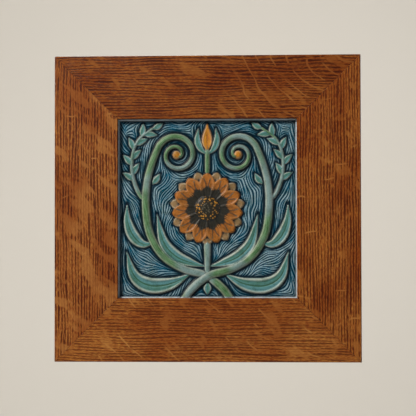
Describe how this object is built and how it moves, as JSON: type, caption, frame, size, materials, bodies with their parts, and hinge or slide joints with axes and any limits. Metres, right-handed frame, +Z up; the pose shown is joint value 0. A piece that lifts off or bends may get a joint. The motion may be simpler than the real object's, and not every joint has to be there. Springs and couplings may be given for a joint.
{
  "type": "framed art tile",
  "caption": "Square glazed relief tile with a flower and scrolling stems, held in a wide flat mitred oak frame that hangs on a wall.",
  "frame": {"origin": "middle of the hanger's rear face, behind the top rail, where it meets the wall", "axes": "+Z up, +Y out of the back into the wall, the tile faces -Y"},
  "size_m": [0.25, 0.0215, 0.25],
  "materials": {
    "oak": "satin red-brown stain, open grain",
    "glaze": "glossy, blue ground with sage, rust and charcoal relief",
    "hardboard": "matt",
    "brassed_steel": "brass plated",
    "felt": "matt"
  },
  "bodies": {
    "root": {"top_rail": "oak", "right_stile": "oak", "bottom_rail": "oak", "left_stile": "oak", "relief_tile": "glaze", "backing_board": "hardboard", "sawtooth_hanger": "brassed_steel", "hanger_nail_left": "brassed_steel", "hanger_nail_right": "brassed_steel", "bumper_left": "felt", "bumper_right": "felt"}
  },
  "joints": []
}
